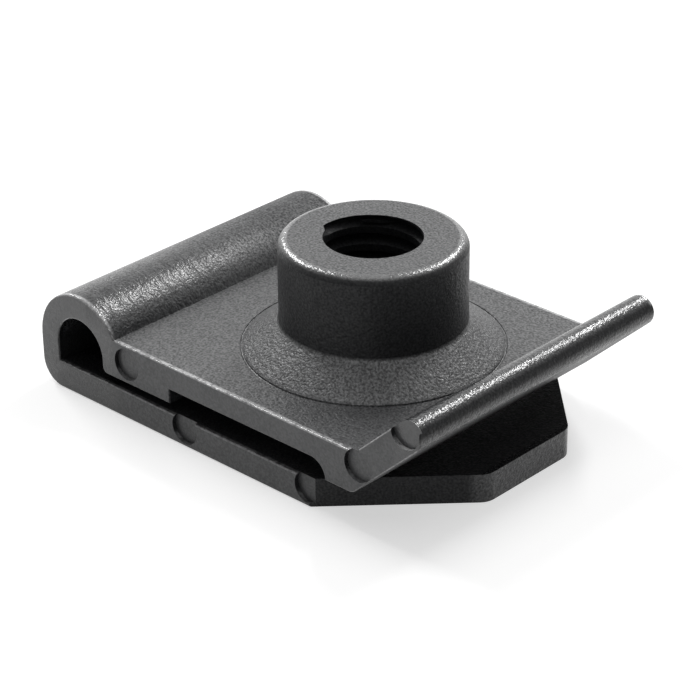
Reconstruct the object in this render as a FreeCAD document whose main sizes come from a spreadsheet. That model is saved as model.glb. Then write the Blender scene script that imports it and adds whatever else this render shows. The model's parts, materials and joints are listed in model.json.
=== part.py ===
"""Push-on U clip nut: one moulded strip bent over itself, with a threaded screw boss.

Frame, in millimetres: the origin is where the screw axis meets the underside,
+X runs along the strip from the loop to the lip, +Y across it, +Z up through the boss.
The side face at -Y, called the near side, carries the ejector marks.
"""
import FreeCAD, Part
import math
import os

import Sketcher

NODE = "u_clip"

# Driving dimensions: cell alias, value in millimetres, and what it measures.
SIZES = {
    # strip and its two legs
    "width": (17.75, "strip from side face to side face"),
    "floor_leg": (1.57, "thickness of the lower leg"),
    "slot_height": (1.33, "panel slot between the legs"),
    "top_leg": (1.37, "thickness of the upper leg over the slot"),
    # loop that joins the legs
    "loop_back": (12.67, "loop centre behind the screw axis"),
    "loop_rise": (1.23, "loop centre above the lower leg"),
    "loop_radius": (3.06, "outside of the loop"),
    "loop_wall": (1.36, "wall of the loop"),
    "back_corner": (1.4, "rounding from the loop to the underside"),
    "slit_height": (0.53, "narrow gap between the loop and the slot"),
    "slit_mouth": (0.35, "rounding where the loop opens into the gap"),
    "panel_stop": (5.91, "stop for the panel's edge, behind the screw axis"),
    # snap bump and lead-in lip at the slot's mouth
    "bump_gap": (0.36, "bump above the lower leg"),
    "bump_flat": (1.57, "flat under the bump"),
    "bump_nose": (0.6, "rounding from the bump to the lip"),
    "lip_start": (6.9, "foot of the lip ahead of the screw axis"),
    "lip_angle": (43.1, "rise of the lip, in degrees"),
    "lip_length": (3.9, "flat top of the lip"),
    "lip_thickness": (1.59, "lip, fully rounded at its free edge"),
    # tongue, the lower leg's end
    "tongue_reach": (10.04, "tip of the tongue ahead of the screw axis"),
    "near_cut": (6.22, "cut corner of the tongue on the near side"),
    "far_cut": (5.37, "cut corner of the tongue on the far side"),
    "tip_round": (1.0, "rounding beside the tongue's tip"),
    # screw boss
    "boss_diameter": (9.68, "outside of the boss"),
    "boss_height": (5.98, "boss above the top face"),
    "boss_round": (0.33, "rounding of the boss's rim"),
    "flare_diameter": (13.56, "foot of the flare on the top face"),
    "flare_height": (1.48, "height of the flare"),
    "flare_round": (0.4, "rounding from the flare to the boss's wall"),
    "bore_diameter": (5.1, "screw bore, at the crests of its thread"),
    "screw_hole": (7.0, "clearance hole for the screw in the lower leg"),
    # finish of the side faces
    "edge_round": (0.12, "rounding of the edges round each side face"),
    "mark_diameter": (1.77, "ejector mark"),
    "mark_depth": (0.25, "ejector mark, into the near side face"),
    "pad_mark_back": (9.06, "mark beside the loop, behind the screw axis"),
    "pad_mark_drop": (1.06, "mark beside the loop, below the top face"),
    "root_mark_ahead": (7.14, "mark at the lip's foot, ahead of the screw axis"),
    "root_mark_drop": (0.66, "mark at the lip's foot, below the top face"),
    "edge_mark_drop": (0.53, "mark at the lip's free edge, below the lip's top"),
    "leg_mark_back": (4.88, "rear mark of the lower leg, behind the screw axis"),
    "leg_mark_ahead": (3.79, "front mark of the lower leg, ahead of the screw axis"),
    "leg_mark_rise": (1.05, "marks of the lower leg above the underside"),
}

# Heights above the underside that several features share, as rules over the sheet.
SLOT_FLOOR = "sizes.floor_leg"
SLOT_ROOF = "(sizes.floor_leg + sizes.slot_height)"
TOP_FACE = "(sizes.floor_leg + sizes.slot_height + sizes.top_leg)"

# A curve's own points in a sketch's constraints, and the sketch's origin.
START, END, CENTRE = 1, 2, 3
ORIGIN = (-1, 1)


def make_sheet(doc):
    """Spreadsheet with one row for each driving dimension: its words, then its value."""
    sheet = doc.addObject("Spreadsheet::Sheet", "sizes")
    for row, (alias, (value, words)) in enumerate(SIZES.items(), start=1):
        sheet.set("A%d" % row, words)
        sheet.set("B%d" % row, str(value))
        sheet.setAlias("B%d" % row, alias)
    doc.recompute()
    return {alias: value for alias, (value, words) in SIZES.items()}


def plane_sketch(body, name, role):
    """Empty sketch on one of the body's own origin planes."""
    sketch = body.newObject("Sketcher::SketchObject", name)
    plane = [item for item in body.Origin.OriginFeatures if item.Role == role][0]
    sketch.AttachmentSupport = (plane, [""])
    sketch.MapMode = "FlatFace"
    return sketch


def vector(place):
    return FreeCAD.Vector(place[0], place[1], 0)


def line(sketch, start, end):
    return sketch.addGeometry(Part.LineSegment(vector(start), vector(end)), False)


def arc(sketch, centre, radius, first, last):
    """Arc that turns left from the angle first to the angle last, in degrees."""
    circle = Part.Circle(vector(centre), FreeCAD.Vector(0, 0, 1), radius)
    return sketch.addGeometry(Part.ArcOfCircle(circle, math.radians(first), math.radians(last)), False)


def hold(sketch, kind, *where):
    sketch.addConstraint(Sketcher.Constraint(kind, *where))


def size_by(sketch, name, rule, kind, *where):
    """Named dimension of the sketch that follows the sheet."""
    index = sketch.addConstraint(Sketcher.Constraint(kind, *where))
    sketch.renameConstraint(index, name)
    sketch.setExpression("Constraints." + name, rule)


def circle_at(sketch, name, place, place_rules, size):
    """Circle whose centre and diameter follow the sheet; size is (value, rule)."""
    value, rule = size
    ring = sketch.addGeometry(Part.Circle(vector(place), FreeCAD.Vector(0, 0, 1), value / 2), False)
    size_by(sketch, name + "_diameter", rule, "Diameter", ring, value)
    if place_rules is None:
        hold(sketch, "Coincident", ring, CENTRE, *ORIGIN)
        return
    size_by(sketch, name + "_x", place_rules[0], "DistanceX", *ORIGIN, ring, CENTRE, place[0])
    size_by(sketch, name + "_y", place_rules[1], "DistanceY", *ORIGIN, ring, CENTRE, place[1])


def lip_places(s):
    """Points of the lip in the side view: foot and end of its top, centre of its edge."""
    face = s["floor_leg"] + s["slot_height"] + s["top_leg"]
    slope = math.radians(s["lip_angle"])
    foot = (s["lip_start"], face)
    end = (foot[0] + s["lip_length"] * math.cos(slope), face + s["lip_length"] * math.sin(slope))
    edge = s["lip_thickness"] / 2
    centre = (end[0] + edge * math.sin(slope), end[1] - edge * math.cos(slope))
    return foot, end, centre


def side_profile(body, s):
    """Outline of the whole strip from the side: lower leg, loop, upper leg, bump and lip."""
    sketch = plane_sketch(body, "SideProfile", "XZ_Plane")
    floor = s["floor_leg"]
    roof = floor + s["slot_height"]
    face = roof + s["top_leg"]
    slit = floor + s["slit_height"]
    bump = floor + s["bump_gap"]
    tip = s["tongue_reach"]
    stop_x = -s["panel_stop"]
    loop_x, loop_z = -s["loop_back"], floor + s["loop_rise"]
    outer = s["loop_radius"]
    inner = outer - s["loop_wall"]
    mouth, corner, nose = s["slit_mouth"], s["back_corner"], s["bump_nose"]
    crest = s["slot_height"] - s["bump_gap"]
    edge = s["lip_thickness"] / 2
    slope = math.radians(s["lip_angle"])
    sine, cosine = math.sin(slope), math.cos(slope)
    lip_foot, lip_end, edge_centre = lip_places(s)
    under_end = (edge_centre[0] + edge * sine, edge_centre[1] - edge * cosine)
    nose_x = under_end[0] - (under_end[1] - bump) / math.tan(slope) - nose * math.tan(slope / 2)
    nose_end = (nose_x + nose * sine, bump + nose * (1 - cosine))
    bump_x = nose_x - s["bump_flat"]
    back_x = loop_x - outer
    notch = math.asin((face - loop_z) / outer)

    underside = line(sketch, (back_x + corner, 0), (tip, 0))
    tip_face = line(sketch, (tip, 0), (tip, floor))
    leg_top = line(sketch, (tip, floor), (loop_x - inner, floor))
    hole_back = line(sketch, (loop_x - inner, floor), (loop_x - inner, loop_z))
    hole_arch = arc(sketch, (loop_x, loop_z), inner, 0, 180)
    hole_front = line(sketch, (loop_x + inner, loop_z), (loop_x + inner, slit + mouth))
    hole_mouth = arc(sketch, (loop_x + inner + mouth, slit + mouth), mouth, 180, 270)
    slit_top = line(sketch, (loop_x + inner + mouth, slit), (stop_x, slit))
    stop_face = line(sketch, (stop_x, slit), (stop_x, roof))
    slot_top = line(sketch, (stop_x, roof), (bump_x - crest, roof))
    bump_back = arc(sketch, (bump_x - crest, bump), crest, 0, 90)
    bump_under = line(sketch, (bump_x, bump), (nose_x, bump))
    bump_front = arc(sketch, (nose_x, bump + nose), nose, 270, 270 + s["lip_angle"])
    lip_under = line(sketch, nose_end, under_end)
    lip_edge = arc(sketch, edge_centre, edge, s["lip_angle"] - 90, s["lip_angle"] + 90)
    lip_top = line(sketch, lip_end, lip_foot)
    top_face = line(sketch, lip_foot, (loop_x + outer * math.cos(notch), face))
    loop = arc(sketch, (loop_x, loop_z), outer, math.degrees(notch), 180)
    back_face = line(sketch, (back_x, loop_z), (back_x, corner))
    back_round = arc(sketch, (back_x + corner, corner), corner, 180, 270)

    sharp_joins = [
        (underside, END, tip_face, START),
        (tip_face, END, leg_top, START),
        (leg_top, END, hole_back, START),
        (slit_top, END, stop_face, START),
        (stop_face, END, slot_top, START),
        (bump_back, START, bump_under, START),
        (lip_top, END, top_face, START),
        (top_face, END, loop, START),
        (loop, CENTRE, hole_arch, CENTRE),
    ]
    smooth_joins = [
        (hole_back, END, hole_arch, END),
        (hole_arch, START, hole_front, START),
        (hole_front, END, hole_mouth, START),
        (hole_mouth, END, slit_top, START),
        (slot_top, END, bump_back, END),
        (bump_under, END, bump_front, START),
        (bump_front, END, lip_under, START),
        (lip_under, END, lip_edge, START),
        (lip_edge, END, lip_top, START),
        (loop, END, back_face, START),
        (back_face, END, back_round, START),
        (back_round, END, underside, START),
    ]
    for join in sharp_joins:
        hold(sketch, "Coincident", *join)
    for join in smooth_joins:
        hold(sketch, "Tangent", *join)
    for level in (underside, leg_top, slit_top, slot_top, bump_under, top_face):
        hold(sketch, "Horizontal", level)
    for upright in (tip_face, hole_back, hole_front, stop_face, back_face):
        hold(sketch, "Vertical", upright)
    hold(sketch, "Horizontal", bump_back, CENTRE, bump_back, START)
    hold(sketch, "Parallel", lip_under, lip_top)
    hold(sketch, "PointOnObject", underside, START, ORIGIN[0])

    places = [
        ("tip_x", "sizes.tongue_reach", "DistanceX", tip_face, START, tip),
        ("loop_x", "-sizes.loop_back", "DistanceX", loop, CENTRE, loop_x),
        ("stop_x", "-sizes.panel_stop", "DistanceX", stop_face, START, stop_x),
        ("lip_x", "sizes.lip_start", "DistanceX", lip_top, END, lip_foot[0]),
        ("floor_z", SLOT_FLOOR, "DistanceY", tip_face, END, floor),
        ("slit_z", SLOT_FLOOR + " + sizes.slit_height", "DistanceY", slit_top, END, slit),
        ("loop_z", SLOT_FLOOR + " + sizes.loop_rise", "DistanceY", loop, CENTRE, loop_z),
        ("roof_z", SLOT_ROOF, "DistanceY", slot_top, START, roof),
        ("face_z", TOP_FACE, "DistanceY", lip_top, END, face),
    ]
    for name, rule, kind, curve, point, value in places:
        size_by(sketch, name, rule, kind, *ORIGIN, curve, point, value)
    radii = [
        ("loop_outside", "sizes.loop_radius", loop, outer),
        ("loop_inside", "sizes.loop_radius - sizes.loop_wall", hole_arch, inner),
        ("mouth_radius", "sizes.slit_mouth", hole_mouth, mouth),
        ("corner_radius", "sizes.back_corner", back_round, corner),
        ("crest_radius", "sizes.slot_height - sizes.bump_gap", bump_back, crest),
        ("nose_radius", "sizes.bump_nose", bump_front, nose),
        ("edge_radius", "sizes.lip_thickness / 2", lip_edge, edge),
    ]
    for name, rule, curve, value in radii:
        size_by(sketch, name, rule, "Radius", curve, value)
    size_by(sketch, "flat_length", "sizes.bump_flat", "DistanceX", bump_under, START, bump_under, END, s["bump_flat"])
    size_by(sketch, "top_length", "sizes.lip_length", "Distance", lip_top, s["lip_length"])
    size_by(sketch, "rise", "sizes.lip_angle * 1deg", "Angle", lip_under, slope)
    return sketch


def strip(body, s):
    """The bent strip at its full width."""
    pad = body.newObject("PartDesign::Pad", "Strip")
    pad.Profile = side_profile(body, s)
    pad.SideType = "Symmetric"
    pad.setExpression("Length", "sizes.width")


def cut_corner(sketch, name, side, cut, s):
    """Triangle off one corner of the tongue, at 45 degrees, with its two outer sides clear of it."""
    half = s["width"] / 2
    tip = s["tongue_reach"]
    cut_value = s[cut]
    clear = cut_value / 5
    tip_corner = (tip, side * (half - cut_value))
    side_corner = (tip - cut_value, side * half)
    outer_tip = (tip_corner[0] + clear, tip_corner[1] - side * clear)
    outer_side = (side_corner[0] - clear, side_corner[1] + side * clear)
    far = (outer_tip[0], outer_side[1])
    slant = line(sketch, outer_side, outer_tip)
    front = line(sketch, outer_tip, far)
    flank = line(sketch, far, outer_side)
    hold(sketch, "Coincident", slant, END, front, START)
    hold(sketch, "Coincident", front, END, flank, START)
    hold(sketch, "Coincident", flank, END, slant, START)
    hold(sketch, "Vertical", front)
    hold(sketch, "Horizontal", flank)
    reach = "sizes.tongue_reach + sizes.%s / 5" % cut
    start = "sizes.tongue_reach - sizes.%s * 6 / 5" % cut
    beside = "sizes.width / 2 + sizes.%s / 5" % cut
    ahead = "sizes.width / 2 - sizes.%s * 6 / 5" % cut
    size_by(sketch, name + "_front_x", reach, "DistanceX", *ORIGIN, slant, END, outer_tip[0])
    size_by(sketch, name + "_back_x", start, "DistanceX", *ORIGIN, slant, START, outer_side[0])
    size_by(sketch, name + "_side_y", "%d * (%s)" % (side, beside), "DistanceY", *ORIGIN, slant, START, outer_side[1])
    size_by(sketch, name + "_tip_y", "%d * (%s)" % (side, ahead), "DistanceY", *ORIGIN, slant, END, outer_tip[1])


def tongue_corners(body, s):
    """Both corners of the tongue cut off at 45 degrees, through the lower leg only."""
    sketch = plane_sketch(body, "TongueCorners", "XY_Plane")
    cut_corner(sketch, "near", -1, "near_cut", s)
    cut_corner(sketch, "far", 1, "far_cut", s)
    pocket = body.newObject("PartDesign::Pocket", "TongueCuts")
    pocket.Profile = sketch
    pocket.Reversed = True
    pocket.setExpression("Length", SLOT_FLOOR + " + sizes.bump_gap / 2")


def same(one, other):
    return abs(one - other) < 1e-6


def at_tip(point, s):
    return same(point.x, s["tongue_reach"])


def at_side(point, s):
    return same(abs(point.y), s["width"] / 2)


def edges_where(shape, wanted):
    """Names of the edges whose two end points pass the test together."""
    names = []
    for number, edge in enumerate(shape.Edges, start=1):
        ends = [vertex.Point for vertex in edge.Vertexes]
        if wanted(ends[0], ends[-1]):
            names.append("Edge%d" % number)
    return names


def round_edges(body, name, rule, wanted):
    """Fillet on the edges of the body as it stands so far."""
    base = body.Tip
    fillet = body.newObject("PartDesign::Fillet", name)
    fillet.Base = (base, edges_where(base.Shape, wanted))
    fillet.setExpression("Radius", rule)


def boss(body, s):
    """Screw boss turned about the screw axis, with a flared foot and a rounded rim."""
    sketch = plane_sketch(body, "BossSection", "XZ_Plane")
    face = s["floor_leg"] + s["slot_height"] + s["top_leg"]
    root = face - s["top_leg"] / 2
    top = face + s["boss_height"]
    wall = s["boss_diameter"] / 2
    foot = s["flare_diameter"] / 2
    rim = s["boss_round"]
    blend = s["flare_round"]
    lean = math.atan2(foot - wall, s["flare_height"])
    reach = blend * math.tan(lean / 2)
    crease = face + s["flare_height"]
    blend_low = (wall + reach * math.sin(lean), crease - reach * math.cos(lean))

    base = line(sketch, (0, root), (foot, root))
    sunk = line(sketch, (foot, root), (foot, face))
    flare = line(sketch, (foot, face), blend_low)
    blend_arc = arc(sketch, (wall + blend, crease + reach), blend, 180, 180 + math.degrees(lean))
    side = line(sketch, (wall, crease + reach), (wall, top - rim))
    rim_arc = arc(sketch, (wall - rim, top - rim), rim, 0, 90)
    cap = line(sketch, (wall - rim, top), (0, top))
    axis = line(sketch, (0, top), (0, root))

    for join in [
        (base, END, sunk, START),
        (sunk, END, flare, START),
        (cap, END, axis, START),
        (axis, END, base, START),
    ]:
        hold(sketch, "Coincident", *join)
    for join in [
        (flare, END, blend_arc, END),
        (blend_arc, START, side, START),
        (side, END, rim_arc, START),
        (rim_arc, END, cap, START),
    ]:
        hold(sketch, "Tangent", *join)
    for level in (base, cap):
        hold(sketch, "Horizontal", level)
    for upright in (sunk, side, axis):
        hold(sketch, "Vertical", upright)
    hold(sketch, "PointOnObject", axis, END, -2)
    size_by(sketch, "foot_radius", "sizes.flare_diameter / 2", "DistanceX", *ORIGIN, sunk, END, foot)
    size_by(sketch, "wall_radius", "sizes.boss_diameter / 2", "DistanceX", *ORIGIN, side, START, wall)
    size_by(sketch, "root_z", TOP_FACE + " - sizes.top_leg / 2", "DistanceY", *ORIGIN, base, START, root)
    size_by(sketch, "foot_z", TOP_FACE, "DistanceY", *ORIGIN, sunk, END, face)
    size_by(sketch, "top_z", TOP_FACE + " + sizes.boss_height", "DistanceY", *ORIGIN, cap, END, top)
    slant = "atan(sizes.flare_height / (sizes.flare_diameter / 2 - sizes.boss_diameter / 2))"
    slope = math.atan2(s["flare_height"], foot - wall)
    size_by(sketch, "flare_slope", "180deg - " + slant, "Angle", flare, math.pi - slope)
    size_by(sketch, "blend_radius", "sizes.flare_round", "Radius", blend_arc, blend)
    size_by(sketch, "rim_radius", "sizes.boss_round", "Radius", rim_arc, rim)

    turned = body.newObject("PartDesign::Revolution", "Boss")
    turned.Profile = sketch
    turned.ReferenceAxis = (sketch, ["V_Axis"])
    turned.Angle = 360


def screw_way(body, s):
    """Bore through boss and upper leg, and the wider clearance hole in the lower leg."""
    bore = plane_sketch(body, "BoreCircle", "XY_Plane")
    bore.setExpression("AttachmentOffset.Base.z", SLOT_FLOOR + " + sizes.slot_height / 2")
    circle_at(bore, "bore", (0, 0), None, (s["bore_diameter"], "sizes.bore_diameter"))
    cut = body.newObject("PartDesign::Pocket", "Bore")
    cut.Profile = bore
    cut.Type = "ThroughAll"
    cut.Reversed = True

    hole = plane_sketch(body, "ScrewHoleCircle", "XY_Plane")
    circle_at(hole, "hole", (0, 0), None, (s["screw_hole"], "sizes.screw_hole"))
    clearance = body.newObject("PartDesign::Pocket", "ScrewHole")
    clearance.Profile = hole
    clearance.Reversed = True
    clearance.setExpression("Length", SLOT_FLOOR + " + sizes.bump_gap / 2")


def ejector_marks(body, s):
    """Shallow round marks that ejector pins leave in the near side face."""
    sketch = plane_sketch(body, "MarkCircles", "XZ_Plane")
    sketch.setExpression("AttachmentOffset.Base.z", "sizes.width / 2")
    face = s["floor_leg"] + s["slot_height"] + s["top_leg"]
    slope = math.radians(s["lip_angle"])
    lip_end = lip_places(s)[1]
    edge = (lip_end[0] + s["edge_mark_drop"] * math.sin(slope), lip_end[1] - s["edge_mark_drop"] * math.cos(slope))
    along, across = "cos(sizes.lip_angle * 1deg)", "sin(sizes.lip_angle * 1deg)"
    edge_rules = ("sizes.lip_start + sizes.lip_length * %s + sizes.edge_mark_drop * %s" % (along, across),
                  TOP_FACE + " + sizes.lip_length * %s - sizes.edge_mark_drop * %s" % (across, along))
    marks = [
        ("pad", (-s["pad_mark_back"], face - s["pad_mark_drop"]),
         ("-sizes.pad_mark_back", TOP_FACE + " - sizes.pad_mark_drop")),
        ("root", (s["root_mark_ahead"], face - s["root_mark_drop"]),
         ("sizes.root_mark_ahead", TOP_FACE + " - sizes.root_mark_drop")),
        ("edge", edge, edge_rules),
        ("rear", (-s["leg_mark_back"], s["leg_mark_rise"]), ("-sizes.leg_mark_back", "sizes.leg_mark_rise")),
        ("front", (s["leg_mark_ahead"], s["leg_mark_rise"]), ("sizes.leg_mark_ahead", "sizes.leg_mark_rise")),
    ]
    for name, place, rules in marks:
        circle_at(sketch, name, place, rules, (s["mark_diameter"], "sizes.mark_diameter"))
    pocket = body.newObject("PartDesign::Pocket", "EjectorMarks")
    pocket.Profile = sketch
    pocket.setExpression("Length", "sizes.mark_depth")


def grown(doc, body, name, sign, before):
    """Recompute, then stop unless the last feature added (1) or took away (-1) material."""
    doc.recompute()
    after = body.Shape.Volume
    if sign * (after - before) <= 0:
        raise RuntimeError("%s left the volume at %.3f mm3" % (name, after))
    print("%-14s %9.3f mm3" % (name, after))
    return after


def main():
    doc = FreeCAD.newDocument("clip")
    s = make_sheet(doc)
    body = doc.addObject("PartDesign::Body", "Clip")
    body.Label = NODE

    strip(body, s)
    volume = grown(doc, body, "Strip", 1, 0)
    tongue_corners(body, s)
    volume = grown(doc, body, "TongueCuts", -1, volume)

    round_edges(body, "TipRounds", "sizes.tip_round", lambda a, b: at_tip(a, s) and at_tip(b, s) and same(a.y, b.y))
    volume = grown(doc, body, "TipRounds", -1, volume)
    round_edges(body, "SideRounds", "sizes.edge_round", lambda a, b: at_side(a, s) and same(a.y, b.y))
    volume = grown(doc, body, "SideRounds", -1, volume)
    boss(body, s)
    volume = grown(doc, body, "Boss", 1, volume)
    screw_way(body, s)
    volume = grown(doc, body, "ScrewWay", -1, volume)
    ejector_marks(body, s)
    volume = grown(doc, body, "EjectorMarks", -1, volume)

    failed = [item.Name for item in doc.Objects if {"Invalid", "Error"} & set(item.State)]
    shape = body.Shape
    if failed or shape.isNull() or not shape.isValid() or len(shape.Solids) != 1:
        raise RuntimeError("clip not sound: %s, %d solids" % (failed, len(shape.Solids)))
    os.makedirs("parts", exist_ok=True)
    shape.exportStep("parts/%s.step" % NODE)
    box = shape.optimalBoundingBox(False)
    print("%s: %.2f x %.2f x %.2f mm, %d faces" % (NODE, box.XLength, box.YLength, box.ZLength, len(shape.Faces)))


main()
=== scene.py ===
# %% [markdown]
# # A black nylon U clip nut
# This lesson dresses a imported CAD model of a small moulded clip. The clip pushes onto the edge
# of a sheet panel, and a screw is driven through its round boss. The CAD model already has the
# folded strip, the rolled loop, the boss and the lip. Blender adds what the CAD model leaves
# plain: the screw thread in the bore, the boss's soft rim, the grain of the moulded plastic, the
# light and the camera. Loading the frame comes first, so that every piece is made in the same
# place and size.

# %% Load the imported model
import json
import math

import bpy
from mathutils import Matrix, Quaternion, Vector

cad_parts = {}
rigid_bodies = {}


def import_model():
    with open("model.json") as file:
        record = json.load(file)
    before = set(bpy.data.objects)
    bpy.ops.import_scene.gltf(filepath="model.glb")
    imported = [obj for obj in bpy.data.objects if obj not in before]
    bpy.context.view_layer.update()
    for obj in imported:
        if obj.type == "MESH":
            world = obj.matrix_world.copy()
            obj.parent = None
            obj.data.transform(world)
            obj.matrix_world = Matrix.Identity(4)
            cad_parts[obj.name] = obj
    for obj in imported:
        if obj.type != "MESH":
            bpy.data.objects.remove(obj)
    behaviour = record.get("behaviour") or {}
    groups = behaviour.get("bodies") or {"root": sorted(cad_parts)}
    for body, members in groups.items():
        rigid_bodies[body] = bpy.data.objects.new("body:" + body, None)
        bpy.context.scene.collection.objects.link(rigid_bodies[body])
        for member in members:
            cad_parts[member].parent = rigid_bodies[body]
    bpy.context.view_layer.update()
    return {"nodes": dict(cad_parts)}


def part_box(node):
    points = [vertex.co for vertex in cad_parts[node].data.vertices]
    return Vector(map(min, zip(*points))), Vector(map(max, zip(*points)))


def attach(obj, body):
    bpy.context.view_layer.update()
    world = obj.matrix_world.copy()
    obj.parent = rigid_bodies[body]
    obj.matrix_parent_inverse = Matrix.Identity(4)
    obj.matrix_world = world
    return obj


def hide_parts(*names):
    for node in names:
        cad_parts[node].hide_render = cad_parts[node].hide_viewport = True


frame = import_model()
MM = 0.001
clip_low, clip_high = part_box("u_clip")
print("CAD box in mm, low corner: ", [round(v / MM, 2) for v in clip_low])
print("CAD box in mm, high corner:", [round(v / MM, 2) for v in clip_high])

# %% [markdown]
# ## The camera
# The photograph looks down on the clip at about 28 degrees, from the side where the lip is, with
# a long lens. The place and the angles below were worked out from the photograph's straight edges.
# A long lens from ten centimetres or more keeps the strip's edges almost parallel, as they are in
# the picture, so the camera is placed by numbers and not by an aiming helper.

# %% Place the camera
CAMERA_PLACE = (78.584 * MM, -84.956 * MM, 65.045 * MM)
CAMERA_TURN = (62.109, 0.495, 43.098)
FILM_WIDTH = 36.0
LENS_LENGTH = 131.49
LENS_SHIFT = 0.0007

camera_data = bpy.data.cameras.new("product_camera")
camera_data.sensor_width = FILM_WIDTH
camera_data.lens = LENS_LENGTH
camera_data.shift_x = -LENS_SHIFT
camera_data.shift_y = LENS_SHIFT
camera_data.clip_start = 0.005
camera_data.clip_end = 10.0
camera = bpy.data.objects.new("product_camera", camera_data)
bpy.context.scene.collection.objects.link(camera)
camera.location = CAMERA_PLACE
camera.rotation_euler = [math.radians(angle) for angle in CAMERA_TURN]
bpy.context.scene.camera = camera
print("camera stands", round(camera.location.length / MM), "mm from the screw axis")

# %% [markdown]
# ## Small helpers
# Operators act on whatever is selected, and loading the frame leaves the CAD solid selected.
# The first two helpers clear the selection, so that each later step touches one piece only. The
# third merges corner points that lie on each other. A join of half a thousandth of a millimetre
# is far finer than any edge of the clip, so it closes the mesh and moves nothing that shows.


# %% Selection and merging helpers
WELD = 0.0005 * MM


def pick_only(piece):
    """Selects one object and makes it the active one."""
    bpy.ops.object.select_all(action="DESELECT")
    piece.select_set(True)
    bpy.context.view_layer.objects.active = piece


def clear_selection():
    """Leaves nothing selected, before a new primitive is added."""
    bpy.ops.object.select_all(action="DESELECT")
    bpy.context.view_layer.objects.active = None


def merge_corners():
    """Merges the active piece's doubled points, and leaves all of it selected."""
    bpy.ops.object.mode_set(mode="EDIT")
    bpy.ops.mesh.select_all(action="SELECT")
    bpy.ops.mesh.remove_doubles(threshold=WELD)
    bpy.ops.object.mode_set(mode="OBJECT")


print("points closer than", round(WELD / MM, 4), "mm count as one")

# %% [markdown]
# ## The moulded body
# The real clip is one piece of moulded nylon. Its shape is right in the CAD model, but the CAD
# mesh is loose triangles, which can't be cut or shaded smoothly. A copy is made instead, and the
# doubled corner points of that copy are merged, so that it becomes one closed skin.

# %% Copy the body and merge its corners
body = frame["nodes"]["u_clip"].copy()
body.data = frame["nodes"]["u_clip"].data.copy()
body.name = "nylon_clip"
body.parent = None
for key in list(body.keys()):
    del body[key]
bpy.context.scene.collection.objects.link(body)
pick_only(body)
bpy.ops.mesh.customdata_custom_splitnormals_clear()
merge_corners()
print("merged body:", len(body.data.vertices), "points,", len(body.data.polygons), "faces")

# %% [markdown]
# ## Cutting the body
# Three things are taken out of the body below: the thread's groove, a fine line and a sliver of
# the rim. Each could be bumped in the material, but a bump leaves the outline as it is. So each is
# made as a solid tool, and a Boolean modifier takes it out of the body. The exact solver is slower
# than the fast one, but it copes with faces that nearly touch.


# %% Cutting helper
def cut_from_body(tool, title):
    """Takes a tool out of the body, and then removes the tool."""
    pick_only(body)
    cut = body.modifiers.new(title, "BOOLEAN")
    cut.operation = "DIFFERENCE"
    cut.solver = "EXACT"
    cut.object = tool
    bpy.ops.object.modifier_apply(modifier=title)
    bpy.data.objects.remove(tool, do_unlink=True)
    print("cut", title, "- the body has", len(body.data.polygons), "faces")


# %% [markdown]
# ## The screw thread
# The bore takes an M6 screw with a pitch of 1 mm. On the real clip the thread's groove climbs the
# bore and breaks out through the top of the boss, where it ends in a sharp corner on the side of
# the loop. The groove could be painted with a bump, but then the bore's rim would stay a plain
# circle. It is cut instead: a flat trapezoid is drawn, a Screw modifier sweeps it into a helix,
# the open ends are filled, and the helix is taken out of the body.

# %% Draw the groove's section
PITCH = 1.0 * MM
GROOVE_DEPTH_RADIUS = 3.0 * MM
GROOVE_INNER_RADIUS = 2.3 * MM
FLANK_ANGLE = math.radians(30.0)
ROOT_SHARE = 1 / 8

clear_selection()
bpy.ops.mesh.primitive_plane_add(size=1.0, location=(0.0, 0.0, 0.0))
groove = bpy.context.active_object
groove.name = "thread_groove"
half_root = PITCH * ROOT_SHARE / 2
half_mouth = half_root + (GROOVE_DEPTH_RADIUS - GROOVE_INNER_RADIUS) * math.tan(FLANK_ANGLE)
section = [
    (GROOVE_INNER_RADIUS, -half_mouth),
    (GROOVE_DEPTH_RADIUS, -half_root),
    (GROOVE_INNER_RADIUS, half_mouth),
    (GROOVE_DEPTH_RADIUS, half_root),
]
for point, (reach, height) in zip(groove.data.vertices, section):
    point.co = (reach, 0.0, height)
pick_only(groove)
bpy.ops.object.mode_set(mode="EDIT")
bpy.ops.mesh.select_all(action="SELECT")
bpy.ops.mesh.delete(type="ONLY_FACE")
bpy.ops.object.mode_set(mode="OBJECT")
print("groove section is", round(2 * half_mouth / MM, 2), "mm wide at its mouth")

# %% Sweep the section into a helix
TURNS = 8
STEPS_PER_TURN = 72

sweep = groove.modifiers.new("helix", "SCREW")
sweep.axis = "Z"
sweep.angle = math.tau
sweep.screw_offset = PITCH
sweep.iterations = TURNS
sweep.steps = STEPS_PER_TURN
sweep.render_steps = STEPS_PER_TURN
sweep.use_normal_calculate = True
bpy.ops.object.modifier_apply(modifier="helix")
bpy.ops.object.mode_set(mode="EDIT")
bpy.ops.mesh.select_all(action="DESELECT")
bpy.ops.mesh.select_mode(type="EDGE")
bpy.ops.mesh.select_non_manifold()
bpy.ops.mesh.edge_face_add()
bpy.ops.object.mode_set(mode="OBJECT")
print("helix has", len(groove.data.polygons), "faces")

# %% [markdown]
# The mould's thread doesn't stop dead at the top. It runs out over about 27 degrees, so that the
# hole's outline leaves the round in a straight line and comes back at a corner. The helix gets the
# same run-out: its top end is extruded, turned on about the screw axis, and drawn in. With no
# window open, the rotate operator turns the other way, so its angles have a minus sign.

# %% Draw out the helix's top end and set it in the bore
RUN_OUT = math.radians(27.0)
RUN_OUT_SHRINK = 0.82
END_ANGLE = math.radians(-165.0)
END_DROP = 0.15 * MM
SCREW_AXIS = (0.0, 0.0, 0.0)
boss_top = clip_high.z
helix_top = TURNS * PITCH

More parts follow.
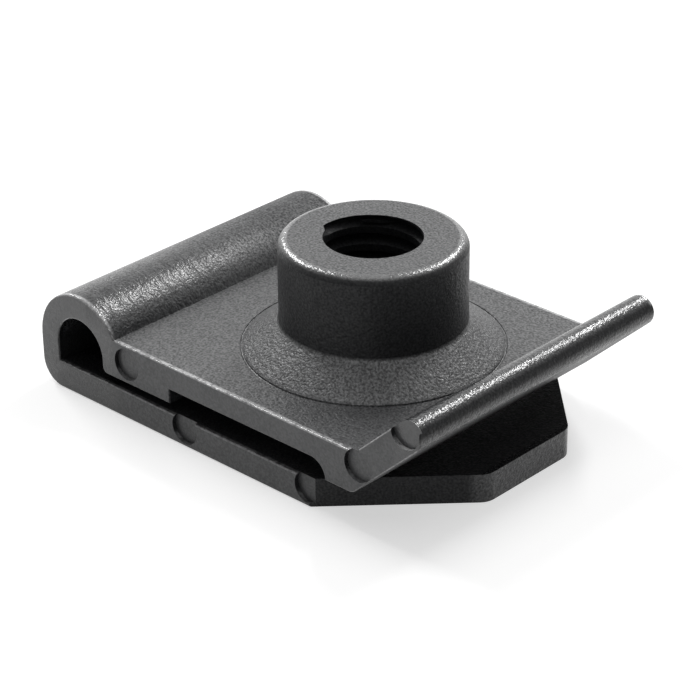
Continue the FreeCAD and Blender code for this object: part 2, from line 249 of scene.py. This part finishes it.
for face in groove.data.polygons:
    across_the_sweep = len(face.vertices) == 4 and abs(face.normal.y) > 0.9
    face.select = across_the_sweep and face.center.z > helix_top - PITCH / 4
bpy.ops.object.mode_set(mode="EDIT")
bpy.ops.mesh.select_mode(type="FACE")
bpy.ops.mesh.extrude_region_move()
bpy.ops.transform.rotate(
    value=-RUN_OUT, orient_axis="Z", orient_type="GLOBAL", center_override=SCREW_AXIS
)
bpy.ops.transform.resize(
    value=(RUN_OUT_SHRINK, RUN_OUT_SHRINK, 1.0), center_override=SCREW_AXIS
)
bpy.ops.mesh.select_all(action="SELECT")
bpy.ops.mesh.normals_make_consistent(inside=False)
bpy.ops.transform.rotate(
    value=-END_ANGLE, orient_axis="Z", orient_type="GLOBAL", center_override=SCREW_AXIS
)
bpy.ops.transform.translate(value=(0.0, 0.0, boss_top - END_DROP - helix_top))
bpy.ops.object.mode_set(mode="OBJECT")
heights = [point.co.z for point in groove.data.vertices]
print("groove runs from", round(min(heights) / MM, 2), "to", round(max(heights) / MM, 2), "mm")

# %% Cut the groove out of the body
cut_from_body(groove, "thread")
merge_corners()
print("threaded body:", len(body.data.vertices), "points")

# %% [markdown]
# ## The line round the flare
# The boss stands in a flared foot, and the photograph shows a fine dark line where the foot meets
# the strip. It is the witness line of the mould's insert. A bump would fade in side light, so a
# thin ring is laid in the corner and cut out, which leaves a real groove about a tenth of a
# millimetre wide.

# %% Cut the witness line
FLARE_RADIUS = 6.78 * MM
STRIP_TOP = 4.27 * MM
WIRE_RADIUS = 0.07 * MM

clear_selection()
bpy.ops.mesh.primitive_torus_add(
    major_radius=FLARE_RADIUS,
    minor_radius=WIRE_RADIUS,
    major_segments=160,
    minor_segments=8,
    location=(0.0, 0.0, STRIP_TOP),
)
cut_from_body(bpy.context.active_object, "witness_line")

# %% [markdown]
# ## The boss's soft rim
# The highlights on the boss lie a little further in from its edge than the CAD model's small round
# puts them, so the real rim is softer. A bevel would fight with the round that is there already.
# Instead the missing sliver is drawn as a section, turned about the screw axis and cut away, as a
# lathe tool would ease the edge of the mould's insert. The arc stops short of both faces, because
# a cut that only grazes a face leaves streaks in its shading.

# %% Draw the sliver's section
BOSS_RADIUS = 4.84 * MM
RIM_ROUND = 0.54 * MM
ARC_START = 5.0
ARC_END = 80.0
ARC_STEPS = 10
CLEARANCE = 0.1 * MM
rim_centre = (BOSS_RADIUS - RIM_ROUND, boss_top - RIM_ROUND)

sliver = []
for step in range(ARC_STEPS + 1):
    lean = math.radians(ARC_START + (ARC_END - ARC_START) * step / ARC_STEPS)
    reach = rim_centre[0] + RIM_ROUND * math.sin(lean)
    height = rim_centre[1] + RIM_ROUND * math.cos(lean)
    sliver.append((reach, height))
sliver.append((BOSS_RADIUS + CLEARANCE, sliver[-1][1]))
sliver.append((BOSS_RADIUS + CLEARANCE, boss_top + CLEARANCE))
sliver.append((sliver[0][0], boss_top + CLEARANCE))
clear_selection()
bpy.ops.mesh.primitive_circle_add(vertices=len(sliver), radius=1.0, location=(0.0, 0.0, 0.0))
easer = bpy.context.active_object
for point, (reach, height) in zip(easer.data.vertices, sliver):
    point.co = (reach, 0.0, height)
print("sliver's section has", len(sliver), "corners")

# %% Turn the sliver and ease the rim
RIM_STEPS = 180

pick_only(easer)
turned = easer.modifiers.new("turn", "SCREW")
turned.axis = "Z"
turned.angle = math.tau
turned.screw_offset = 0.0
turned.steps = RIM_STEPS
turned.render_steps = RIM_STEPS
bpy.ops.object.modifier_apply(modifier="turn")
merge_corners()
bpy.ops.object.mode_set(mode="EDIT")
bpy.ops.mesh.normals_make_consistent(inside=False)
bpy.ops.object.mode_set(mode="OBJECT")
cut_from_body(easer, "rim")

# %% [markdown]
# ## Cleaning up after the cuts
# Exact cuts leave a few faces with no area, and points in the middle of straight edges. They don't
# show, but an exported mesh would have doubled faces there. One operator dissolves the faces
# without area. A point in the middle of a straight edge has only two edges, so such points are
# found by counting every point's edges, and are then selected and dissolved.

# %% Clean the body's mesh
merge_corners()
bpy.ops.object.mode_set(mode="EDIT")
bpy.ops.mesh.dissolve_degenerate(threshold=WELD)
bpy.ops.mesh.select_mode(type="VERT")
bpy.ops.mesh.select_all(action="DESELECT")
bpy.ops.object.mode_set(mode="OBJECT")
links = [0] * len(body.data.vertices)
for edge in body.data.edges:
    for corner in edge.vertices:
        links[corner] += 1
for point, count in zip(body.data.vertices, links):
    point.select = count == 2
bpy.ops.object.mode_set(mode="EDIT")
bpy.ops.mesh.dissolve_verts()
bpy.ops.object.mode_set(mode="OBJECT")
print("took out", links.count(2), "points and left", len(body.data.polygons), "faces")

# %% [markdown]
# ## Smooth shading
# A moulded part has soft rounds between flat faces. Shading smoothly below 35 degrees keeps the
# crisp corners crisp. A Weighted Normal modifier then lets the large flat faces keep their own
# direction, so that the narrow rounds beside them don't pull shadows across them.

# %% Shade the body
CRISP_ANGLE = math.radians(35.0)
FLAT_FACE_WEIGHT = 80

pick_only(body)
bpy.ops.object.shade_smooth_by_angle(angle=CRISP_ANGLE)
even = body.modifiers.new("even_normals", "WEIGHTED_NORMAL")
even.mode = "FACE_AREA"
even.weight = FLAT_FACE_WEIGHT
even.keep_sharp = True
bpy.ops.object.modifier_apply(modifier="even_normals")
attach(body, "root")
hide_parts("u_clip")
print("body rides on root and stands for u_clip")

# %% [markdown]
# ## Black moulded nylon
# The real plastic is a charcoal nylon. Its upper faces come from a finely etched mould, so they
# glitter with small grains, and its side faces are smoother. The side faces' grey, darker
# downwards, is painted light and shade, and the rounded edges are polished and carry painted
# highlights in pale grey. A picture of the plastic would need a UV map, so the grain is made from
# noise in Object coordinates instead, which gives it the same size everywhere.
# The material has many nodes, so the first helper adds one node of any kind.


# %% Helper for one node
def add_node(tree, kind, **settings):
    """Adds one node and sets its plain properties."""
    node = tree.nodes.new(kind)
    for name, value in settings.items():
        setattr(node, name, value)
    return node


# %% [markdown]
# ## Masks and sums
# A mask is a value that is 1 at the place where something happens and 0 elsewhere. A Map Range
# node makes one from a length or a direction, with a soft step between. Masks are then joined
# by Math nodes. These helpers let both be written as short sums, which read better than a web
# of nodes.


# %% Helpers for masks
def remap(value, low, high, to_low, to_high):
    """Maps one range of a value onto another, and holds it inside."""
    tree = value.id_data
    node = add_node(tree, "ShaderNodeMapRange")
    node.inputs["From Min"].default_value = low
    node.inputs["From Max"].default_value = high
    node.inputs["To Min"].default_value = to_low
    node.inputs["To Max"].default_value = to_high
    tree.links.new(value, node.inputs["Value"])
    return node.outputs["Result"]


def rising(value, start, end):
    """Gives a mask that is 0 at the start and 1 at the end of a range."""
    return remap(value, start, end, 0.0, 1.0)


def falling(value, start, end):
    """Gives a mask that is 1 at the start and 0 at the end of a range."""
    return remap(value, start, end, 1.0, 0.0)


def by_mask(mask, outside, inside):
    """Gives one number outside a mask and another inside it."""
    return remap(mask, 0.0, 1.0, outside, inside)


# %% Helpers for sums
def combine(operation, first, second):
    """Joins a value with a second value or a number, by one Math node."""
    tree = first.id_data
    node = add_node(tree, "ShaderNodeMath", operation=operation)
    tree.links.new(first, node.inputs[0])
    if isinstance(second, float):
        node.inputs[1].default_value = second
    else:
        tree.links.new(second, node.inputs[1])
    return node.outputs["Value"]


def times(first, second):
    """Multiplies; of two masks it gives the place where both hold."""
    return combine("MULTIPLY", first, second)


def most(first, second):
    """Gives the larger; of two masks it gives the place where either holds."""
    return combine("MAXIMUM", first, second)


def plus(first, second):
    """Adds a value or a number to a value."""
    return combine("ADD", first, second)


# %% [markdown]
# The nylon starts from the Principled shader, with nylon's refractive index of 1.53. Two things
# tell one face of the clip from another: where it lies and which way it faces. Both are split
# into their parts here, and the side faces are found from them: they face across the strip, and
# they lie at its edge.

# %% Start the nylon
NYLON_INDEX = 1.53
strip_edge = clip_high.y

nylon = bpy.data.materials.new("black_nylon")
nylon.use_nodes = True
tree = nylon.node_tree
plastic = tree.nodes["Principled BSDF"]
plastic.inputs["IOR"].default_value = NYLON_INDEX
where = add_node(tree, "ShaderNodeTexCoord")
place = where.outputs["Object"]
spot = add_node(tree, "ShaderNodeSeparateXYZ")
tree.links.new(place, spot.inputs["Vector"])
along, level = spot.outputs["X"], spot.outputs["Z"]
off_middle = combine("ABSOLUTE", spot.outputs["Y"], 0.0)
facing = add_node(tree, "ShaderNodeSeparateXYZ")
tree.links.new(where.outputs["Normal"], facing.inputs["Vector"])
faces_up = facing.outputs["Z"]
faces_across = combine("ABSOLUTE", facing.outputs["Y"], 0.0)
by_side = rising(off_middle, strip_edge - 0.36 * MM, strip_edge - 0.30 * MM)
side_face = times(rising(faces_across, 0.80, 0.97), by_side)
print("nylon starts with", len(tree.nodes), "nodes")

# %% [markdown]
# The etched grain is a fine noise and a coarse one together, as one noise alone looks too even.
# Wide clouds make the shine uneven, as on any moulded face. The loop has streaks as well, where
# the plastic was drawn round the mould. They are noise that is stretched round the loop by a
# Mapping node, which squeezes X and Z and leaves Y alone.


# %% Helper for a noise
def noise(place, scale, detail):
    """Adds a noise at a place, with its scale in grains per metre."""
    tree = place.id_data
    node = add_node(tree, "ShaderNodeTexNoise")
    node.inputs["Scale"].default_value = scale
    node.inputs["Detail"].default_value = detail
    node.inputs["Roughness"].default_value = 0.5
    tree.links.new(place, node.inputs["Vector"])
    return node.outputs["Fac"]


# %% Grain, clouds and streaks
FINE_SCALE = 8500.0
COARSE_SCALE = 3600.0
CLOUD_SCALE = 420.0
STREAK_SCALE = 2500.0
STREAK_STRETCH = 0.16

fine_grain = noise(place, FINE_SCALE, 1.5)
coarse_grain = noise(place, COARSE_SCALE, 2.0)
clouds = noise(place, CLOUD_SCALE, 3.0)
stretch = add_node(tree, "ShaderNodeMapping")
stretch.inputs["Scale"].default_value = (STREAK_STRETCH, 1.0, STREAK_STRETCH)
tree.links.new(place, stretch.inputs["Vector"])
streaks = noise(stretch.outputs["Vector"], STREAK_SCALE, 2.0)
for title, scale in (("fine", FINE_SCALE), ("coarse", COARSE_SCALE), ("streak", STREAK_SCALE)):
    print(title, "grains are about", round(1.0 / scale / MM, 2), "mm wide")

# %% [markdown]
# ## Places that differ
# The loop has its streaks, and a shiny patch at its near end that fades towards the far one. The
# bore was shaped by a polished pin, so its thread is smooth; its dark colour is painted shade. The
# boss's rim and the lip's edge are polished, the rim carries a weak painted highlight, and the
# boss's foot has the deepest grain. Material slots could tell them apart, but then each would end
# in a hard line. Masks from X, from height and from the distance to the screw axis fade softly.

# %% Masks for the loop and the lip
LOOP_FROM, LOOP_TO = -9.4 * MM, -10.2 * MM
DULL_FROM, DULL_TO = -3.0 * MM, 5.0 * MM
LIP_FROM, LIP_TO = 9.3 * MM, 9.8 * MM

on_loop = rising(along, LOOP_FROM, LOOP_TO)
dull_loop = times(on_loop, rising(spot.outputs["Y"], DULL_FROM, DULL_TO))
near_patch = combine("SUBTRACT", on_loop, dull_loop)
on_lip = rising(along, LIP_FROM, LIP_TO)
off_lip = by_mask(on_lip, 1.0, 0.0)
print("masks start at X", round(LOOP_FROM / MM, 1), "and", round(LIP_FROM / MM, 1), "mm")

# %% Masks for the bore, the rim and the foot
BORE_REACH = 3.02 * MM
FADE = 0.08 * MM

flat_spot = add_node(tree, "ShaderNodeCombineXYZ")
tree.links.new(spot.outputs["X"], flat_spot.inputs["X"])
tree.links.new(spot.outputs["Y"], flat_spot.inputs["Y"])
distance = add_node(tree, "ShaderNodeVectorMath", operation="LENGTH")
tree.links.new(flat_spot.outputs["Vector"], distance.inputs[0])
from_axis = distance.outputs["Value"]

below_top = falling(level, boss_top - 0.02 * MM, boss_top - 0.005 * MM)
in_bore = times(falling(from_axis, BORE_REACH, BORE_REACH + FADE), below_top)
rim_reach = rising(from_axis, rim_centre[0], rim_centre[0] + FADE)
rim_zone = times(rim_reach, rising(level, rim_centre[1], rim_centre[1] + FADE))
on_rim = times(rim_reach, rising(level, boss_top - 0.34 * MM, boss_top - 0.14 * MM))
past_wall = rising(from_axis, BOSS_RADIUS + 0.05 * MM, BOSS_RADIUS + 0.15 * MM)
in_line = falling(from_axis, FLARE_RADIUS - 0.15 * MM, FLARE_RADIUS - 0.05 * MM)
on_foot = times(times(past_wall, in_line), rising(level, STRIP_TOP, STRIP_TOP + 0.05 * MM))
print("bore's mask reaches", round(BORE_REACH / MM, 2), "mm from the axis")

# %% [markdown]
# ## Edge highlights
# The light catches the strip's long edges as a pale, broken line. That line is a painted
# highlight: a pale grey laid into the colour. A Bevel node could find edges, but it can't be told
# which ones, and it makes a render slow. The long edges are found from their slant instead, and
# from a thin band on the upper leg beside them. The line shows little on the lower leg's edges, so
# the mask grows weaker downwards.

# %% Masks for the painted edge highlights
slant = times(faces_across, combine("ABSOLUTE", faces_up, 0.0))
slanted_edge = times(rising(slant, 0.20, 0.42), by_side)
edge_band = rising(off_middle, strip_edge - 0.28 * MM, strip_edge - 0.18 * MM)
top_band = times(edge_band, rising(faces_up, 0.5, 0.7))
# Painted highlight: the edge line is faded downwards, where the edges catch less light.
highlight_fade = remap(level, 3.0 * MM, 4.1 * MM, 0.3, 1.0)
long_edge = times(most(slanted_edge, top_band), highlight_fade)
rubbed = most(long_edge, on_rim)
print("long edges and rim masked as rubbed")

# %% [markdown]
# ## Drawn and shaded faces
# Walls that slide along the mould as the part is pushed out, such as the boss's wall, are drawn
# smooth and glitter less, and in the photograph they are almost black. The fronts of the lip and
# the loop, the walls of the ejector pins' marks, the lower leg's top and the bore are as dark.
# That dark colour is painted shade: these faces lie under the legs, in hollows, or turn away from
# the lamps. Painting them by hand would need an attribute. They are found from how steeply they
# stand instead, with limits of their own for the loop, the rim and the lip.

# %% Masks for the drawn and shaded faces
standing = most(falling(faces_up, 0.05, 0.50), times(falling(faces_up, 0.30, 0.85), on_loop))
standing = most(standing, times(falling(faces_up, 0.60, 0.88), rim_zone))
standing = times(standing, rising(faces_up, -0.30, 0.05))
lip_front = times(falling(faces_up, 0.62, 0.95), on_lip)
lip_front = times(lip_front, rising(faces_up, -0.10, 0.30))
standing = most(times(standing, off_lip), lip_front)
off_side = by_mask(side_face, 1.0, 0.0)
lower_top = times(falling(level, 1.60 * MM, 1.70 * MM), rising(faces_up, 0.8, 0.95))
pin_mark = times(by_side, falling(faces_across, 0.3, 0.7))
pin_mark = times(pin_mark, falling(faces_up, 0.4, 0.7))
# Painted shade: these faces get a darker colour in the Colour cell.
drawn_and_shaded = most(times(standing, off_side), in_bore)
drawn_and_shaded = most(drawn_and_shaded, lower_top)
drawn_and_shaded = most(drawn_and_shaded, times(pin_mark, off_lip))
print("drawn walls masked; nylon has", len(tree.nodes), "nodes so far")

# %% [markdown]
# ## Bump
# The grain is far too fine to model, so it goes into a Bump node, which only tilts the light. It
# is deepest on the boss's foot, less than half as deep on the side faces, and nearly gone in the
# bore. The loop's streaks are added to it.

# %% Bump
GRAIN_DEPTH = 0.05 * MM
BUMP_STRENGTH = 0.55
SIDE_GRAIN = 0.4
FOOT_GRAIN = 1.6
BORE_GRAIN = 0.15
STREAK_DEPTH = 1.8

etched = times(plus(fine_grain, coarse_grain), by_mask(side_face, 1.0, SIDE_GRAIN))
etched = times(etched, by_mask(on_foot, 1.0, FOOT_GRAIN))
relief = plus(etched, times(times(streaks, on_loop), STREAK_DEPTH))
relief = times(relief, by_mask(in_bore, 1.0, BORE_GRAIN))
bump = add_node(tree, "ShaderNodeBump")
bump.inputs["Strength"].default_value = BUMP_STRENGTH
bump.inputs["Distance"].default_value = GRAIN_DEPTH
tree.links.new(relief, bump.inputs["Height"])
tree.links.new(bump.outputs["Normal"], plastic.inputs["Normal"])
print("grain is up to", round(GRAIN_DEPTH / MM, 2), "mm deep")

# %% [markdown]
# ## Roughness
# Etched nylon is half matt. The clouds and the grain vary it a little. Rubbed edges and the lip's
# rounded edge are polished, so that the highlights on them are narrow and bright, and so is the
# patch on the loop. The loop's far end is duller than the rest.

# %% Roughness
SHINY_CLOUD = 0.44
DULL_CLOUD = 0.52
GRAIN_SHINE = 0.06
POLISH = -0.25
PATCH_POLISH = -0.18
FAR_LOOP_DULLING = 0.12

shine = remap(clouds, 0.3, 0.7, SHINY_CLOUD, DULL_CLOUD)
shine = plus(shine, remap(fine_grain, 0.35, 0.7, GRAIN_SHINE, -GRAIN_SHINE))
lip_skin = times(on_lip, rising(faces_up, -0.70, -0.45))
shine = plus(shine, times(most(rubbed, lip_skin), POLISH))
shine = plus(shine, times(dull_loop, FAR_LOOP_DULLING))
shine = plus(shine, times(near_patch, PATCH_POLISH))
tree.links.new(shine, plastic.inputs["Roughness"])
print("roughness is about", round((SHINY_CLOUD + DULL_CLOUD) / 2, 2), "on plain faces")

# %% [markdown]
# ## Sheen
# How much a face mirrors is set by the shader's Specular IOR Level. Grains that lie the right way
# mirror more than their neighbours, so the level follows the fine grain. Drawn walls mirror only a
# quarter as much, and the bore less again, or they would turn grey before a white background. The
# loop's far end and its crest are a little weaker too, as in the photograph.

# %% Sheen
SHEEN = 0.60
GRAIN_SPARKLE = 0.24
RUBBED_SHEEN = 0.4
SIDE_SPARKLE = 0.3
DRAWN_SPARKLE = 0.5
DRAWN_SHEEN = 0.25
BORE_SHEEN = 0.4
FAR_LOOP_SHEEN = 0.8
LOOP_CREST_SHEEN = 0.75

sparkle = remap(fine_grain, 0.30, 0.70, -GRAIN_SPARKLE, GRAIN_SPARKLE)
sparkle = times(sparkle, by_mask(side_face, 1.0, SIDE_SPARKLE))
sparkle = times(sparkle, by_mask(drawn_and_shaded, 1.0, DRAWN_SPARKLE))
sheen = plus(sparkle, plus(times(rubbed, RUBBED_SHEEN), SHEEN))
loop_crest = times(on_loop, rising(faces_up, 0.80, 0.97))
for mask, share in (
    (drawn_and_shaded, DRAWN_SHEEN),
    (in_bore, BORE_SHEEN),
    (dull_loop, FAR_LOOP_SHEEN),
    (loop_crest, LOOP_CREST_SHEEN),
):
    sheen = times(sheen, by_mask(mask, 1.0, share))
tree.links.new(sheen, plastic.inputs["Specular IOR Level"])
print("sheen is", SHEEN, "on plain faces and", round(SHEEN * DRAWN_SHEEN, 2), "on drawn walls")

# %% [markdown]
# ## Colour
# The nylon is nearly black between the grains and dark grey on them. The faces in the drawn mask
# keep only a quarter of that grey, as painted shade. The side faces get one grey of painted light,
# which grows darker downwards as painted shade. The long edges get a pale grey as a painted
# highlight, in dashes that the coarse grain breaks up, and the rim a weak one on its upper part.


# %% Helper for a mix of colours
def mix_colours(first, second, amount):
    """Mixes two colours, each a plain one or the result of another mix."""
    tree = amount.id_data
    node = add_node(tree, "ShaderNodeMix", data_type="RGBA")
    for name, colour in (("A", first), ("B", second)):
        if isinstance(colour, tuple):
            node.inputs[name].default_value = colour
        else:
            tree.links.new(colour, node.inputs[name])
    tree.links.new(amount, node.inputs["Factor"])
    return node.outputs["Result"]


# %% Colour
DEEP_BLACK = (0.008, 0.0083, 0.009, 1.0)
GRAIN_GREY = (0.052, 0.053, 0.055, 1.0)
# The two side greys are painted light; the lower one is painted shade near the floor.
LOW_SIDE_SHADE_GREY = (0.022, 0.0225, 0.0235, 1.0)
HIGH_SIDE_LIT_GREY = (0.064, 0.065, 0.067, 1.0)
# The pale grey of the painted highlights on the edges and the rim.
HIGHLIGHT_GREY = (0.44, 0.44, 0.445, 1.0)
# Share of the grains' grey kept on shaded faces: painted shade.
SHADE_GRAIN_SHARE = 0.25
SIDE_LIGHT_SHARE = 0.85
RIM_HIGHLIGHT_SHARE = 0.25

# Painted shade: faces in the drawn mask keep only part of the grains' grey.
grain_tint = times(rising(fine_grain, 0.34, 0.66), by_mask(drawn_and_shaded, 1.0, SHADE_GRAIN_SHARE))
etched_colour = mix_colours(DEEP_BLACK, GRAIN_GREY, grain_tint)
# Painted light on the side faces, growing darker downwards as painted shade.
painted_side_light = mix_colours(LOW_SIDE_SHADE_GREY, HIGH_SIDE_LIT_GREY, rising(level, 1.5 * MM, 3.0 * MM))
grain_and_side_light = mix_colours(etched_colour, painted_side_light, times(side_face, SIDE_LIGHT_SHARE))
# Painted highlight: pale grey on the long edges and the rim's top, broken up by the grain.
highlight_breaks = remap(coarse_grain, 0.35, 0.6, 0.25, 1.0)
rim_highlight = times(on_rim, remap(faces_up, 0.80, 0.95, 0.0, RIM_HIGHLIGHT_SHARE))
colour_with_highlights = mix_colours(grain_and_side_light, HIGHLIGHT_GREY, times(most(long_edge, rim_highlight), highlight_breaks))
tree.links.new(colour_with_highlights, plastic.inputs["Base Color"])
body.data.materials.clear()
body.data.materials.append(nylon)
print("nylon has", len(tree.nodes), "nodes")

# %% [markdown]
# ## Floor and background
# The photograph stands the clip on pure white. More light on the floor would whiten it, but would
# bleach the clip as well. So the floor is a pale paper that carries the clip's soft shadow, and
# only rays from the camera, mirrors and glass see it glow a little, enough to join the white
# background. The glow grows with the distance from the clip, so that no horizon shows.


# %% Tell which rays see the background
def seen_directly(tree):
    """Gives 1 for rays from the camera, from mirrors and from glass, and 0 for the rest."""
    rays = add_node(tree, "ShaderNodeLightPath")
    mirrored = most(rays.outputs["Is Glossy Ray"], rays.outputs["Is Transmission Ray"])
    return most(rays.outputs["Is Camera Ray"], mirrored)


# %% Lay the floor
PAPER_GREY = (0.62, 0.62, 0.62, 1.0)
WHITE = (1.0, 1.0, 1.0, 1.0)
NEAR_GLOW = 0.56
FAR_GLOW = 1.0
NEAR_REACH = 0.05
FAR_REACH = 0.35

clear_selection()
bpy.ops.mesh.primitive_plane_add(size=4.0, location=(0.0, 0.0, clip_low.z - 0.01 * MM))
floor = bpy.context.active_object
floor.name = "studio_floor"
paper = bpy.data.materials.new("white_paper")
paper.use_nodes = True
paper_tree = paper.node_tree
sheet = paper_tree.nodes["Principled BSDF"]
sheet.inputs["Base Color"].default_value = PAPER_GREY
sheet.inputs["Roughness"].default_value = 0.9
sheet.inputs["Specular IOR Level"].default_value = 0.0
sheet.inputs["Emission Color"].default_value = WHITE
paper_place = add_node(paper_tree, "ShaderNodeTexCoord")
paper_reach = add_node(paper_tree, "ShaderNodeVectorMath", operation="LENGTH")
paper_tree.links.new(paper_place.outputs["Object"], paper_reach.inputs[0])
glow = remap(paper_reach.outputs["Value"], NEAR_REACH, FAR_REACH, NEAR_GLOW, FAR_GLOW)
seen_glow = times(seen_directly(paper_tree), glow)
paper_tree.links.new(seen_glow, sheet.inputs["Emission Strength"])
floor.data.materials.append(paper)
print("floor lies at", round(floor.location.z / MM, 3), "mm")

# %% [markdown]
# The world behind the floor is treated in the same way. It is white where it is seen, and gives
# the clip only a weak light from all sides, so that the lamps decide what is light and dark.

# %% Set the room's light
ROOM_LIGHT = 0.15
SEEN_ROOM = 1.0

world = bpy.data.worlds.new("soft_room")
bpy.context.scene.world = world
world.use_nodes = True
sky_tree = world.node_tree
room = sky_tree.nodes["Background"]
room.inputs["Color"].default_value = WHITE
room_level = by_mask(seen_directly(sky_tree), ROOM_LIGHT, SEEN_ROOM)
sky_tree.links.new(room_level, room.inputs["Strength"])
print("room light is", ROOM_LIGHT, "and white where it is seen")

# %% [markdown]
# ## Lights
# The highlights in the photograph say where its lamps stood. The bright lines on the loop, on the
# lip and on the right of the boss's rim come from a narrow lamp behind the clip, and those on the
# near edge and on the left of the rim from a second one on the left. Each is tilted to cover the
# mirror directions that its highlights give. The top faces are grey because they mirror wide pale
# screens behind and above. Faces that turn to the right are nearly black, so nothing bright
# stands there. Area lamps do both jobs: a small bright one gives a line, and a wide dim one an
# even grey. Each is placed by its compass angle and its angle above the floor, because that is
# how mirror directions are worked out.


# %% Lamp helper
def soft_light(name, azimuth, elevation, distance, width, height, radiance, roll):
    """Adds an area lamp that looks at the clip; its radiance is how bright its face looks."""
    data = bpy.data.lights.new(name, "AREA")
    data.shape = "RECTANGLE"
    data.size = width
    data.size_y = height
    data.energy = math.pi * width * height * radiance
    lamp = bpy.data.objects.new(name, data)
    turn = math.radians(azimuth)
    rise = math.radians(elevation)
    flat = math.cos(rise) * distance
    lamp.location = (flat * math.cos(turn), flat * math.sin(turn), math.sin(rise) * distance)
    bpy.context.scene.collection.objects.link(lamp)
    aim = lamp.location.to_track_quat("Z", "Y")
    lamp.rotation_euler = (aim @ Quaternion((0.0, 0.0, 1.0), math.radians(roll))).to_euler()
    lamp.visible_camera = False
    print(name, "at", [round(v, 2) for v in lamp.location], "power", round(data.energy, 2))


# %% Place the lamps
# name; azimuth and elevation in degrees; distance, width and height in metres; radiance; roll
LAMPS = (
    ("back_strip", 96.0, 45.0, 0.5, 0.045, 0.27, 32.0, 35.0),
    ("left_strip", 171.0, 43.5, 0.5, 0.04, 0.38, 29.0, -30.0),
    ("right_back_screen", 70.0, 52.0, 0.55, 0.34, 0.30, 0.7, 0.0),
    ("overhead_screen", -45.0, 80.0, 0.55, 0.45, 0.45, 0.8, 0.0),
    ("back_screen", 140.0, 24.0, 0.6, 1.15, 0.46, 0.4, 0.0),
)
for lamp_row in LAMPS:
    soft_light(*lamp_row)

# %% [markdown]
# ## Colour and finish
# The Standard view keeps colours as they are written.

# %% Finish
bpy.context.scene.view_settings.view_transform = "Standard"
